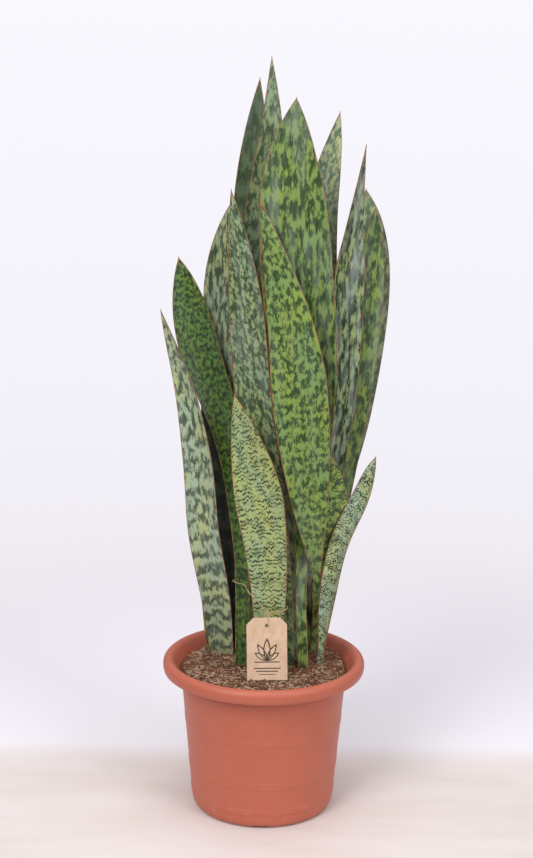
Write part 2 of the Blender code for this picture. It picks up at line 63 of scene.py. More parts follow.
# Twine, in metres but for STRING_ROUTE: the CAD string's middle line in mm, from the knot
# through the tag's hole, round two leaves and back
TWINE_DIAMETER = 0.0012
STRING_ROUTE = (
    (4.6, -43.0, 249.2), (4.4, -45.0, 246.0), (4.2, -46.6, 242.4), (4.2, -47.0, 238.8),
    (4.2, -46.0, 236.4), (4.2, -43.6, 235.4), (4.2, -41.2, 236.4), (4.2, -40.2, 238.8),
    (3.8, -39.4, 243.0), (2.4, -38.2, 248.5), (-1.0, -37.0, 254.5), (-6.5, -36.2, 261.0),
    (-12.5, -35.6, 266.5), (-17.0, -33.6, 270.5), (-20.0, -27.0, 272.5), (-22.0, -17.0, 273.5),
    (-26.5, -9.2, 274.2), (-33.5, -6.6, 275.0), (-37.4, -1.0, 275.6), (-34.0, 4.8, 275.0),
    (-26.0, 6.4, 273.5), (-16.5, 0.0, 270.0), (-8.5, -9.0, 266.0), (1.0, -15.4, 261.0),
    (12.0, -17.6, 256.5), (21.0, -19.6, 253.5), (27.0, -25.0, 252.0), (24.0, -33.6, 251.2),
    (15.0, -38.8, 251.0), (7.2, -41.2, 251.0),
)
TWINE_ROUTE = [tuple(value * MM for value in point) for point in STRING_ROUTE]
TWINE_PLIES = 3
TWINE_PITCH = 0.0042
TWINE_STEP = 0.0007
TWINE_SIDES = 12

# Leaf meshes
LEAF_ROWS = 150
LEAF_COLUMNS = 18  # on each face of the blade
RIM_BEAD = 0.28  # mm that the margin stands proud of the blade
RIM_REACH = 0.9  # mm in from the margin over which the bead fades
SPINE_REACH = 3.2  # mm from the tip over which the blade narrows to a spine
LEAST_HALF_WIDTH = 0.45  # mm, at the spine
MARGIN_WAVE = 0.6  # mm that the margins wander to the front and back
WAVE_LENGTH = 62.0  # mm
SWELL = 0.22  # share by which the thickness varies
SWELL_LENGTH = 38.0  # mm
LEAF_SHINE = 0.28  # least roughness of a blade
RIB_HEIGHT = 0.000162
UP = Vector((0.0, 0.0, 1.0))


# ---- shared helpers


class Skin:
    """One material's node tree, with short calls for the nodes that it is made of."""

    def __init__(self, name):
        self.material = bpy.data.materials.new(name)
        self.material.use_nodes = True
        self.tree = self.material.node_tree
        self.shader = self.tree.nodes["Principled BSDF"]

    def node(self, kind, inputs, **settings):
        """A new node; inputs gives a value or a link for each socket, by name or number."""
        made = self.tree.nodes.new(kind)
        for key, value in settings.items():
            setattr(made, key, value)
        for key, value in inputs.items():
            self.feed(made.inputs[key], value)
        return made

    def feed(self, socket, value):
        """Link a socket, or set a plain number or colour on it."""
        if isinstance(value, bpy.types.NodeSocket):
            self.tree.links.new(value, socket)
        elif hasattr(value, "__len__") and len(value) == 3 and socket.type == "RGBA":
            socket.default_value = (*value, 1.0)
        else:
            socket.default_value = value

    def attribute(self, name):
        """A vector attribute's X, Y and Z."""
        read = self.node("ShaderNodeAttribute", {}, attribute_name=name)
        return self.split(read.outputs["Vector"])

    def split(self, vector):
        return self.node("ShaderNodeSeparateXYZ", {0: vector}).outputs[:]

    def maths(self, operation, first, second=None, third=None):
        given = {key: value for key, value in enumerate((first, second, third)) if value is not None}
        return self.node("ShaderNodeMath", given, operation=operation).outputs[0]

    def vector(self, x, y, z=0.0):
        return self.node("ShaderNodeCombineXYZ", {0: x, 1: y, 2: z}).outputs[0]

    def stretched(self, vector, scale, offset=(0.0, 0.0, 0.0)):
        inputs = {"Vector": vector, "Scale": scale, "Location": offset}
        return self.node("ShaderNodeMapping", inputs).outputs[0]

    def noise(self, vector, scale=1.0, detail=2.0, roughness=0.5, distortion=0.0):
        inputs = {"Vector": vector, "Scale": scale, "Detail": detail, "Roughness": roughness,
                  "Distortion": distortion}
        return self.node("ShaderNodeTexNoise", inputs).outputs[0]

    def marks(self, place, width, length, offset=(0.0, 0.0, 0.0), detail=2.0, roughness=0.5):
        """Noise with marks of about width by length, in place's own unit."""
        scaled = self.stretched(place, (1 / width, 1 / length, 1.0), offset)
        return self.noise(scaled, 1.0, detail, roughness)

    def cells(self, vector, scale):
        """Distance to the nearest of scattered points."""
        inputs = {"Vector": vector, "Scale": scale}
        return self.node("ShaderNodeTexVoronoi", inputs).outputs["Distance"]

    def spread(self, value, low, high, to_low=0.0, to_high=1.0, smooth=True):
        """Map low..high of a value to to_low..to_high, held at both ends."""
        inputs = dict(enumerate((value, low, high, to_low, to_high)))
        kind = "SMOOTHSTEP" if smooth else "LINEAR"
        return self.node("ShaderNodeMapRange", inputs, interpolation_type=kind).outputs[0]

    def mix(self, factor, first, second):
        inputs = {0: factor, 6: first, 7: second}
        return self.node("ShaderNodeMix", inputs, data_type="RGBA").outputs[2]

    def blend(self, value, low, high, first, second):
        """The first colour where a value is low, and the second where it is high."""
        return self.mix(self.spread(value, low, high), first, second)

    def tinted(self, colour, value, low, high, amount, tint):
        """A colour with an amount of tint over it where a value is high."""
        return self.mix(self.spread(value, low, high, 0.0, amount), colour, tint)

    def bump(self, height, distance, normal=None):
        """Raise the surface by height times distance, in metres."""
        inputs = {"Distance": distance, "Height": height}
        if normal is not None:
            inputs["Normal"] = normal
        return self.node("ShaderNodeBump", inputs).outputs[0]

    def here(self):
        """The point of the surface in the row frame, in metres."""
        return self.node("ShaderNodeTexCoord", {}).outputs["Object"]

    def finish(self, colour, roughness, normal=None, **sockets):
        self.feed(self.shader.inputs["Base Color"], colour)
        self.feed(self.shader.inputs["Roughness"], roughness)
        if normal is not None:
            self.feed(self.shader.inputs["Normal"], normal)
        for name, value in sockets.items():
            self.shader.inputs[name.replace("_", " ")].default_value = value
        return self.material


def new_mesh(name, points, faces):
    mesh = bpy.data.meshes.new(name)
    mesh.from_pydata([tuple(point) for point in points], [], faces)
    return mesh


def finished_mesh(bm, name):
    mesh = bpy.data.meshes.new(name)
    bm.to_mesh(mesh)
    bm.free()
    return mesh


def smooth(mesh, angle):
    """Smooth shading, but sharp where two faces meet at more than an angle in degrees."""
    mesh.shade_smooth()
    mesh.set_sharp_from_angle(angle=math.radians(angle))


def add_object(name, data):
    made = bpy.data.objects.new(name, data)
    bpy.context.scene.collection.objects.link(made)
    return made


def add_piece(name, points, faces, material, slot, replaced=(), smooth_angle=60.0):
    """A mesh piece that rides on the plant's one body."""
    mesh = new_mesh(name, points, faces)
    mesh.update()
    return place_piece(name, mesh, material, replaced, smooth_angle)


def place_piece(name, mesh, material, replaced=(), smooth_angle=60.0):
    mesh.materials.append(material)
    smooth(mesh, smooth_angle)
    piece = add_object(name, mesh)
    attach(piece, BODY)
    if replaced:
        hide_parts(*replaced)
    return piece


def write_attribute(mesh, name, values):
    """Store one 3-number row for each vertex."""
    made = mesh.attributes.new(name, "FLOAT_VECTOR", "POINT")
    made.data.foreach_set("vector", np.asarray(values, np.float32).ravel())


def smooth_rows(points, places, wanted):
    """Read a smooth curve through rows of numbers, known at places, at the wanted places."""
    points = np.asarray(points, float)
    gaps = np.diff(places)
    steps = np.diff(points, axis=0) / gaps[:, None]
    slopes = np.empty_like(points)
    slopes[0] = steps[0]
    slopes[-1] = steps[-1]
    before = gaps[:-1, None]
    after = gaps[1:, None]
    slopes[1:-1] = (steps[:-1] * after + steps[1:] * before) / (before + after)
    first = np.clip(np.searchsorted(places, wanted, side="right") - 1, 0, len(gaps) - 1)
    gap = gaps[first][:, None]
    share = (np.asarray(wanted)[:, None] - places[first][:, None]) / gap
    start, end = points[first], points[first + 1]
    slope_in, slope_out = slopes[first] * gap, slopes[first + 1] * gap
    cube = 2 * start - 2 * end + slope_in + slope_out
    square = 3 * end - 3 * start - 2 * slope_in - slope_out
    return ((cube * share + square) * share + slope_in) * share + start


def distances_along(points):
    steps = np.linalg.norm(np.diff(np.asarray(points, float), axis=0), axis=1)
    return np.concatenate([[0.0], np.cumsum(steps)])


def tube_mesh(route, radius_at, sides):
    """Points and faces of a closed round tube. radius_at takes the row's distance and the turn."""
    route = [Vector(place) for place in route]
    travelled = distances_along(route)
    points, faces = [], []
    last = len(route) - 1
    side = None
    for row, place in enumerate(route):
        ahead = (route[min(row + 1, last)] - route[max(row - 1, 0)]).normalized()
        if side is None:
            reference = UP if abs(ahead.dot(UP)) < 0.9 else Vector((1.0, 0.0, 0.0))
            side = ahead.cross(reference).normalized()
        side = (side - ahead * side.dot(ahead)).normalized()
        up = side.cross(ahead)
        for step in range(sides):
            turn = math.tau * step / sides
            radius = radius_at(travelled[row], turn)
            points.append(place + (side * math.cos(turn) + up * math.sin(turn)) * radius)
    for row in range(last):
        for step in range(sides):
            here, there = row * sides, (row + 1) * sides
            after = (step + 1) % sides
            faces.append((here + step, there + step, there + after, here + after))
    faces.append(tuple(range(sides)))
    faces.append(tuple(reversed(range(last * sides, (last + 1) * sides))))
    return points, faces


def join_meshes(parts):
    """One list of points and one of faces from several (points, faces)."""
    points, faces = [], []
    for part_points, part_faces in parts:
        base = len(points)
        points.extend(part_points)
        faces.extend(tuple(base + corner for corner in face) for face in part_faces)
    return points, faces


# ---- leaves


def leaf_rings(node):
    """A CAD leaf's rings from foot to tip, as (left, right, front, back) points in metres.

    The rings are found by walking down the mesh's edges from the tip. In each, the margins are
    the two points furthest apart, and the middles of the two faces lie halfway between them.
    """
    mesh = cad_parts[node].data
    numbers, points, number_of = {}, [], []
    for vert in mesh.vertices:
        key = tuple(round(value / (0.001 * MM)) for value in vert.co)
        if key not in numbers:
            numbers[key] = len(points)
            points.append(np.array(vert.co))
        number_of.append(numbers[key])
    neighbours = [set() for _ in points]
    for edge in mesh.edges:
        first, second = (number_of[corner] for corner in edge.vertices)
        neighbours[first].add(second)
        neighbours[second].add(first)
    tip = max(range(len(points)), key=lambda number: points[number][2])
    seen = {tip}
    layer = [tip]
    layers = []
    while layer:
        layers.append([points[number] for number in layer])
        beyond = {other for number in layer for other in neighbours[number]} - seen
        seen |= beyond
        layer = sorted(beyond)
    layers.reverse()
    rings = []
    facing = None
    for number, ring in enumerate(layers[:-1]):
        pairs = [(a, b) for a in range(len(ring)) for b in range(a)]
        far = max(pairs, key=lambda pair: np.linalg.norm(ring[pair[0]] - ring[pair[1]]))
        left, right = ring[far[0]], ring[far[1]]
        middle = (left + right) / 2
        across = (right - left) / np.linalg.norm(right - left)
        rest = [point for spot, point in enumerate(ring) if spot not in far]
        rest.sort(key=lambda point: abs((point - middle) @ across))
        front, back = rest[:2]
        if facing is None:
            facing = middle - (front + back) / 2
        if (front - back) @ facing < 0:
            front, back = back, front
        facing = front - back
        above = np.mean(layers[number + 1], axis=0) - np.mean(ring, axis=0)
        if np.cross(above, facing) @ (right - left) < 0:
            left, right = right, left
        rings.append((left, right, front, back))
    tip_point = layers[-1][0]
    rings.append((tip_point, tip_point, tip_point, tip_point))
    return np.array(rings)


def fold_shape(share, sharpness):
    """How a blade bends across its width: 0 at the middle and 1 at the margins."""
    round_bend = share ** 2
    edge = 0.10
    sharp_bend = (np.sqrt(share ** 2 + edge ** 2) - edge) / (math.sqrt(1 + edge ** 2) - edge)
    return round_bend * (1 - sharpness) + sharp_bend * sharpness


def build_leaf(node, slot, skin, fold, seed):
    """A fine blade on the CAD leaf's lines, with a beaded margin and a spine at its tip."""
    rings = leaf_rings(node)
    left, right, front, back = (rings[:, column] for column in range(4))
    middle = (front + back) / 2
    margin_middle = (left + right) / 2
    knots = distances_along(margin_middle)
    length = knots[-1]
    shares = 1 - (1 - np.arange(LEAF_ROWS) / LEAF_ROWS) ** 1.3
    wanted = shares * length
    parts = np.hstack([middle, (right - left) / 2, margin_middle - middle, (front - back) / 2])
    rows = smooth_rows(parts, knots, wanted)
    centre, half, channel, thick = (rows[:, start:start + 3] for start in (0, 3, 6, 9))
    to_tip = (length - wanted) / MM
    narrowing = 1 - np.exp(-(to_tip / SPINE_REACH) ** 1.4)
    half_width = np.maximum(np.linalg.norm(half, axis=1) * narrowing / MM, LEAST_HALF_WIDTH)
    half = half / np.linalg.norm(half, axis=1)[:, None]
    half_thick = np.linalg.norm(thick, axis=1) / MM
    outward = thick / np.linalg.norm(thick, axis=1)[:, None]
    turns = math.tau * np.arange(2 * LEAF_COLUMNS) / (2 * LEAF_COLUMNS)
    points, leaf_place, leaf_rim = [], [], []
    for row in range(LEAF_ROWS):
        for turn in turns:
            share = -math.cos(turn)
            lift = math.sin(turn)
            edge = half_width[row] * (1 - abs(share))
            body = min(half_thick[row], 0.5 * half_width[row] + 0.05)
            depth = body * lift
            if abs(lift) > 0.01:
                depth += math.copysign(RIM_BEAD * math.exp(-(edge / RIM_REACH) ** 2), lift)
            side = math.copysign(1.0, share)
            drift = noise.noise(Vector((wanted[row] / MM / WAVE_LENGTH, 7.3 * seed + 2.0 * side, 0.0)))
            sway = MARGIN_WAVE * drift * abs(share) ** 2.5 * min(half_width[row] / 16.0, 1.0)
            lump = Vector((share * 2.2, wanted[row] / MM / SWELL_LENGTH, 3.1 * seed))
            swell = SWELL * noise.noise(lump)
            place = (centre[row] + half[row] * (share * half_width[row] * MM)
                     + channel[row] * fold_shape(share, fold)
                     + outward[row] * ((depth * (1 + swell) + sway) * MM))
            points.append(place)
            leaf_place.append((share * half_width[row], wanted[row] / MM, lift))
            leaf_rim.append((edge, to_tip[row], place[2] / MM))
    ring = 2 * LEAF_COLUMNS
    points.append(rings[-1][0])
    leaf_place.append((0.0, length / MM, 0.0))
    leaf_rim.append((0.0, 0.0, rings[-1][0][2] / MM))
    faces = [tuple(reversed(range(ring)))]
    for row in range(LEAF_ROWS - 1):
        for step in range(ring):
            here, there = row * ring, (row + 1) * ring
            after = (step + 1) % ring
            faces.append((here + step, here + after, there + after, there + step))
    top = (LEAF_ROWS - 1) * ring
    for step in range(ring):
        faces.append((top + step, top + (step + 1) % ring, LEAF_ROWS * ring))
    piece = add_piece(node.replace("leaf_", "blade_"), points, faces, skin, slot, [node])
    write_attribute(piece.data, "leaf_place", leaf_place)
    write_attribute(piece.data, "leaf_rim", leaf_rim)
    return piece


def leaf_skin(name, dark, light, seed, period=34.0, bands=0.5, band_top=420.0, blotch=(6.0, 14.0),
              mottle=1.0, level=0.0, lines=0.0, line_gap=4.6, slant=0.0, bloom_and_sheen_amount=0.25):
    """Green snake plant skin: jagged cross bands near the foot that break up into blotches.

    period is the bands' spacing and blotch the blotches' size, in mm; level shifts the whole
    leaf lighter or darker; lines draws fine wavy cross lines; bloom sets the grey layer, which
    is partly a waxy coating and partly painted sheen.
    """
    skin = Skin(name)
    across, along, _ = skin.attribute("leaf_place")
    edge, to_tip, height = skin.attribute("leaf_rim")
    along = skin.maths("MULTIPLY_ADD", across, slant, along)
    place = skin.vector(across, along, 37.0 * seed)

    wide = skin.marks(place, 11, 17)
    jag = skin.marks(place, 1.9, 16, (4.0, 1.0, 0.0), 2.0, 0.6)
    shift = skin.maths("MULTIPLY_ADD", wide, 34.0, along)
    shift = skin.maths("MULTIPLY_ADD", jag, 17.0, shift)
    band = skin.maths("SINE", skin.maths("MULTIPLY", shift, math.tau / period))
    band_share = skin.spread(along, 40.0, band_top, bands, bands * 0.28)
    banded = skin.maths("MULTIPLY", band, band_share)

    warp_x = skin.maths("MULTIPLY_ADD", jag, 3.0, across)
    warp_y = skin.maths("MULTIPLY_ADD", jag, 9.0, along)
    warped = skin.vector(warp_x, warp_y, 11.0 * seed)
    patch = skin.marks(warped, *blotch, detail=2.5, roughness=0.55)
    patch = skin.spread(patch, 0.36, 0.64, -1.0, 1.0, smooth=False)
    patch_share = skin.spread(along, 40.0, band_top, mottle * 0.35, mottle * 0.85)
    patched = skin.maths("MULTIPLY", patch, patch_share)
    fleck = skin.marks(place, 0.9, 5.5, (2.0, 5.0, 0.0), 3.0, 0.65)
    fleck = skin.spread(fleck, 0.3, 0.7, -0.5, 0.5, smooth=False)

    tone = skin.maths("ADD", banded, patched)
    tone = skin.maths("ADD", tone, fleck)
    tone = skin.maths("ADD", tone, level)
    if lines > 0.0:
        ripple = skin.marks(place, 4.2, 18, (9.0, 3.0, 0.0))
        drawn = skin.maths("MULTIPLY_ADD", ripple, 15.0, along)
        drawn = skin.maths("SINE", skin.maths("MULTIPLY", drawn, math.tau / line_gap))
        drawn = skin.spread(drawn, 0.15, 0.95, 0.0, -2.2 * lines)
        breaks = skin.marks(place, 7, 9, (1.0, 8.0, 0.0), 1.0)
        drawn = skin.maths("MULTIPLY", drawn, skin.spread(breaks, 0.35, 0.6))
        tone = skin.maths("ADD", tone, drawn)
    share = skin.spread(tone, -0.52, 0.52)

    tint = skin.marks(place, 24, 60, (3.0, 3.0, 0.0), 1.0)
    warm_light = (light[0] * 1.10, light[1] * 1.04, light[2] * 0.80)
    cool_light = (light[0] * 0.90, light[1] * 0.96, light[2] * 1.10)
    pale = skin.blend(tint, 0.35, 0.65, cool_light, warm_light)
    deep_dark = (dark[0] * 0.72, dark[1] * 0.78, dark[2] * 0.85)
    deep = skin.blend(fleck, -0.3, 0.3, deep_dark, dark)
    colour = skin.mix(share, deep, pale)

    # A grey layer: partly a waxy coating on the blade, partly painted sheen for its soft grey
    # reflections
    bloom_and_painted_sheen = skin.marks(place, 9, 90, (6.0, 2.0, 0.0))
    bloom_and_painted_sheen = skin.spread(bloom_and_painted_sheen, 0.42, 0.70, 0.0, bloom_and_sheen_amount * 0.75)
    grey = (0.22 + light[0] * 0.3, 0.28 + light[1] * 0.2, 0.26 + light[2] * 0.3)
    colour = skin.mix(bloom_and_painted_sheen, colour, grey)
    dust = skin.spread(height, 166.0, 186.0, 0.55, 0.0)
    colour = skin.mix(dust, colour, (0.060, 0.045, 0.022))

    wander = skin.noise(skin.stretched(place, (0.0, 1 / 14, 1.0), (0.0, 7.0, 0.0)), 1.0, 2.0)
    reach = skin.spread(wander, 0.3, 0.7, 0.55, 1.15)
    rim = skin.spread(skin.maths("SUBTRACT", edge, reach), -0.25, 0.25, 0.94, 0.0)
    rim_tone = skin.blend(wander, 0.35, 0.6, (0.145, 0.062, 0.030), (0.36, 0.150, 0.075))
    colour = skin.mix(rim, colour, rim_tone)
    dry = skin.spread(to_tip, 1.5, 6.5, 1.0, 0.0)
    colour = skin.mix(dry, colour, (0.36, 0.19, 0.085))

    ribs = skin.marks(place, 0.55, 70)
    pores = skin.marks(place, 0.45, 0.8, detail=1.0)
    normal = skin.bump(ribs, RIB_HEIGHT)
    normal = skin.bump(pores, 0.00005, normal=normal)
    shine = skin.maths("MULTIPLY_ADD", ribs, 0.16, LEAF_SHINE)
    shine = skin.maths("MULTIPLY_ADD", bloom_and_painted_sheen, 0.25, shine)
    shine = skin.maths("MULTIPLY_ADD", rim, 0.2, shine)
    return skin.finish(colour, shine, normal, Specular_IOR_Level=0.42)


# Greens of the leaves' dark ground, deepest to palest; the first is near-black painted shade
PAINTED_SHADE_GREEN = (0.022, 0.032, 0.024)
DEEP = (0.022, 0.045, 0.014)
FOREST = (0.038, 0.075, 0.020)
PINE = (0.055, 0.090, 0.038)
SLATE = (0.085, 0.120, 0.070)
MIST = (0.140, 0.210, 0.120)
# Greens of their light marks; the first is dimmed into painted shade
PAINTED_SHADE_MARKS = (0.065, 0.085, 0.050)
DIM = (0.110, 0.160, 0.090)
FERN = (0.120, 0.215, 0.040)
MOSS = (0.215, 0.315, 0.080)
SAGE = (0.300, 0.380, 0.190)
LIME = (0.300, 0.440, 0.110)
CELERY = (0.370, 0.440, 0.190)
SILVER = (0.420, 0.500, 0.300)

# Each leaf's look: a slot name, dark and light greens, and what differs from leaf_skin's
# usual values
LEAF_LOOKS = {
    "leaf_far_left": ("leaf_light", SLATE, SILVER, dict(
        period=21, bands=0.80, band_top=300, blotch=(5, 13), level=0.05, bloom_and_sheen_amount=0.30)),
    "leaf_left_dark": ("leaf_dark", DEEP, FERN, dict(
        period=15, bands=0.25, band_top=600, blotch=(4, 5), level=-0.05, bloom_and_sheen_amount=0.06)),
    "leaf_left_broad": ("leaf_mid", SLATE, SILVER, dict(bands=0.3, blotch=(4, 18), bloom_and_sheen_amount=0.3)),
    "leaf_folded": ("leaf_mid", PINE, SAGE, dict(
        bands=0.3, blotch=(4, 12), slant=0.9, lines=0.35, line_gap=7.5, bloom_and_sheen_amount=0.35)),
    "leaf_tall_dark": ("leaf_dark", PINE, DIM, dict(bands=0.3, blotch=(8, 16), bloom_and_sheen_amount=0.35)),
    "leaf_tallest": ("leaf_light", SLATE, SAGE, dict(bands=0.3, blotch=(5, 13), bloom_and_sheen_amount=0.22)),
    "leaf_big_centre": ("leaf_mid", FOREST, MOSS, dict(
        period=26, bands=0.75, band_top=260, blotch=(5, 17), level=-0.08, bloom_and_sheen_amount=0.50)),
    "leaf_back_grey": ("leaf_light", MIST, SILVER, dict(bands=0.25, blotch=(4, 10), bloom_and_sheen_amount=0.30)),
    "leaf_right_sheen": ("leaf_mid", DEEP, SAGE, dict(
        bands=0.3, blotch=(5, 18), level=-0.15, bloom_and_sheen_amount=0.80)),
    "leaf_right_outer": ("leaf_mid", PINE, MOSS, dict(
        bands=0.3, blotch=(6, 18), level=-0.1, bloom_and_sheen_amount=0.45)),
    "leaf_right_broad": ("leaf_dark", MIST, SILVER, dict(
        bands=0.3, blotch=(9, 16), level=-0.1, bloom_and_sheen_amount=0.20)),
    "leaf_front_tall": ("leaf_light", FOREST, MOSS, dict(
        period=19, bands=0.55, band_top=420, blotch=(5, 9), lines=0.22, line_gap=9.0, level=0.12,
        bloom_and_sheen_amount=0.16)),
    "leaf_front_short": ("leaf_light", DEEP, CELERY, dict(
        period=34, bands=0.30, band_top=260, blotch=(7, 9), mottle=0.5, lines=0.75, line_gap=5.2,
        level=0.42, bloom_and_sheen_amount=0.12)),
    "leaf_right_bright": ("leaf_light", PINE, LIME, dict(
        period=18, bands=0.45, band_top=500, blotch=(6, 7), lines=0.4, bloom_and_sheen_amount=0.10)),
    "leaf_far_right": ("leaf_light", DEEP, SILVER, dict(
        period=16, bands=0.3, band_top=700, blotch=(3, 5), lines=0.6, line_gap=3.8, level=0.3,
        bloom_and_sheen_amount=0.25)),
    # The leaf deep among the others is painted shade: near-black greens and a darker level
    "leaf_left_shaded": ("leaf_dark", PAINTED_SHADE_GREEN, PAINTED_SHADE_MARKS, dict(
        bands=0.4, blotch=(7, 14), level=-0.2, bloom_and_sheen_amount=0.10)),
    "leaf_back_left": ("leaf_mid", PINE, MOSS, {}),
    "leaf_back_centre": ("leaf_mid", FOREST, MOSS, dict(level=-0.05)),
    "leaf_back_right": ("leaf_light", PINE, SAGE, dict(level=0.08)),
}
FOLDS = {"leaf_folded": 0.75, "leaf_tallest": 0.35, "leaf_far_right": 0.2, "leaf_right_sheen": 0.3}


def build_leaves():
    blades = []
    for number, (node, (slot, dark, light, settings)) in enumerate(LEAF_LOOKS.items()):
        skin = leaf_skin(node.replace("leaf_", "skin_"), dark, light, number + 1.0, **settings)
        blades.append(build_leaf(node, slot, skin, FOLDS.get(node, 0.0), number + 1.0))
    return blades


# ---- pot


def pot_plastic():
    """Satin terracotta-coloured plastic with a faint mottle, scuffs and dust near the floor."""
    skin = Skin("terracotta_plastic")
    here = skin.here()
    level = skin.split(here)[2]
    cloud = skin.noise(here, 26.0, 3.0)
    grain = skin.noise(here, 900.0, 2.0)
    colour = skin.blend(cloud, 0.3, 0.7, (0.450, 0.108, 0.062), (0.470, 0.116, 0.067))
    colour = skin.tinted(colour, grain, 0.35, 0.7, 0.10, (0.64, 0.26, 0.17))
    scratch = skin.noise(skin.stretched(here, (90.0, 90.0, 900.0)), 1.0, 2.0, 0.6, 1.5)
    scratch = skin.spread(scratch, 0.74, 0.80, 0.0, 0.16)
    colour = skin.mix(scratch, colour, (0.72, 0.36, 0.26))
    speck = skin.spread(skin.cells(here, 120.0), 0.02, 0.055, 0.5, 0.0)
    low = skin.spread(level, 0.006, 0.040, 1.0, 0.12)
    colour = skin.mix(skin.maths("MULTIPLY", speck, low), colour, (0.78, 0.55, 0.42))
    dust = skin.noise(here, 60.0, 4.0, 0.7)
    dust = skin.maths("MULTIPLY", skin.spread(dust, 0.45, 0.75, 0.0, 0.22), low)
    colour = skin.mix(dust, colour, (0.60, 0.36, 0.26))
    shine = skin.spread(cloud, 0.25, 0.75, 0.42, 0.47, smooth=False)
    shine = skin.maths("MULTIPLY_ADD", scratch, 0.5, shine)
    normal = skin.bump(grain, 0.00003)
    normal = skin.bump(scratch, -0.00006, normal=normal)
    return skin.finish(colour, shine, normal, Specular_IOR_Level=0.45)


POT_SEGMENTS = 168
POT_NOTCHES = 4
POT_NOTCH_START = -91.5
NOTCH_RADIUS = 79.6  # mm from the axis to the cutter's middle
NOTCH_REACH = 26.0
NOTCH_WIDTH = 18.5
NOTCH_HEIGHT = 3.6
POT_DRAINS = 8
DRAIN_CIRCLE = 46.0  # mm from the axis to a drain hole's middle
DRAIN_RADIUS = 4.5
WALL_FOOT = (85.5, 14.0)  # radius and height in mm at which the straight wall starts
WALL_FLARE = 12.7  # mm that its radius grows over WALL_RISE
WALL_RISE = 146.0
RING_LINES = ((113.0, 104.0), (59.0, 49.5), (24.0, 16.5))  # heights of moulded ring edges, in mm
RING_STEP = 0.40
RING_EDGE = 0.4  # mm either side of a ring edge that its slope takes up
RING_SUPPORT = 1.6  # mm either side at which the wall is straight again


def wall_radius(height):
    """Outside radius of the wall in mm between the rounded foot and the step ring."""
    return WALL_FOOT[0] + WALL_FLARE * (height - WALL_FOOT[1]) / WALL_RISE


def pot_outline():
    """The pot's half section in mm, from the middle of the foot round the outside and back."""
    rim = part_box("pot")[1].y / MM
    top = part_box("pot")[1].z / MM
    underside = [(0.0, 0.0), (17.4, 0.0), (18.0, 0.5), (19.5, 4.0), (70.7, 4.0), (71.6, 0.5),
                 (72.2, 0.0), (78.0, 0.0)]
    heel = [(78.6, 0.15), (81.2, 1.4), (83.4, 4.2), (84.8, 8.6), WALL_FOOT]
    wall = []
    for upper, lower in reversed(RING_LINES):
        for height, side in ((lower, -1), (upper, 1)):
            edge = [(wall_radius(height + side * away), height + side * away)
                    for away in (RING_SUPPORT, RING_EDGE)]
            edge += [(wall_radius(height - side * away) + RING_STEP, height - side * away)
                     for away in (RING_EDGE, RING_SUPPORT)]
            wall += edge if side < 0 else reversed(edge)
    step = [(wall_radius(148.0), 148.0), (wall_radius(151.5), 151.5), (98.4, 152.4), (99.4, 153.0),
            (99.8, 154.2), (99.9, 157.0), (100.2, 163.4), (100.9, 165.2)]
    roll = [(103.2, 168.5), (107.0, 175.0), (110.6, 179.2), (114.4, 180.4), (117.2, 177.8),
            (117.4, 172.0), (116.0, 168.8), (116.4, 167.4), (117.6, 167.0), (118.6, 167.8),
            (119.6, 170.6), (rim, 174.8), (119.0, 179.4), (115.9, 182.4), (112.0, top),
            (108.4, 180.9), (105.0, 176.2), (100.9, 168.6)]
    inside = [(98.2, 163.2), (97.8, 162.0), (97.2, 153.5), (94.8, 148.0), (87.3, 60.0),
              (83.3, 14.0), (82.2, 10.4), (80.6, 8.4), (78.0, 6.5), (21.0, 6.5), (19.2, 2.5),
              (0.0, 2.5)]
    fine_heel = refined(heel, 2)
    fine_roll = refined([step[-1], *roll, inside[0]], 4)[4:-4]
    return underside + fine_heel + wall + step + fine_roll + inside


def refined(points, parts):
    """The same line with parts times as many points, on a smooth curve through them."""
    knots = distances_along(points)
    wanted = []
    for start, end in zip(knots, knots[1:]):
        wanted += [start + (end - start) * part / parts for part in range(parts)]
    wanted.append(knots[-1])
    return [tuple(point) for point in smooth_rows(points, knots, np.array(wanted))]


def lathe(outline, segments):
    """Turn an outline of (radius, height) in mm about Z into points and faces in metres."""
    points, faces, rings = [], [], []
    for radius, height in outline:
        count = 1 if radius < 0.01 else segments
        ring = []
        for step in range(count):
            turn = math.tau * step / segments
            ring.append(len(points))
            points.append((radius * math.cos(turn) * MM, radius * math.sin(turn) * MM, height * MM))
        rings.append(ring)
    for below, above in zip(rings, rings[1:]):
        for step in range(segments):
            after = (step + 1) % segments
            if len(below) == 1:
                faces.append((below[0], above[after], above[step]))
            elif len(above) == 1:
                faces.append((below[step], below[after], above[0]))
            else:
                faces.append((below[step], below[after], above[after], above[step]))
    return points, faces


def apply_cut(piece, cutter_points, cutter_faces):
    """Subtract a closed shape from a piece and keep only the result."""
    cutter = add_object("cutter", new_mesh("cutter", cutter_points, cutter_faces))
    cut = piece.modifiers.new("cut", "BOOLEAN")
    cut.operation = "DIFFERENCE"
    cut.solver = "EXACT"
    cut.object = cutter
    bpy.context.view_layer.update()
    graph = bpy.context.evaluated_depsgraph_get()
    result = bpy.data.meshes.new_from_object(piece.evaluated_get(graph))
    piece.modifiers.clear()
    piece.data = result
    bpy.data.objects.remove(cutter)


def prism(outline, matrix, low, high):
    """A closed prism over an outline of (x, y), from low to high, moved by a matrix."""
    count = len(outline)
    points = [matrix @ Vector((x, y, low)) for x, y in outline]
    points += [matrix @ Vector((x, y, high)) for x, y in outline]
    faces = [tuple(reversed(range(count))), tuple(range(count, 2 * count))]
    for step in range(count):
        after = (step + 1) % count
        faces.append((step, after, count + after, count + step))
    return points, faces


def circle(radius, count):
    return [(radius * math.cos(math.tau * step / count), radius * math.sin(math.tau * step / count))
            for step in range(count)]


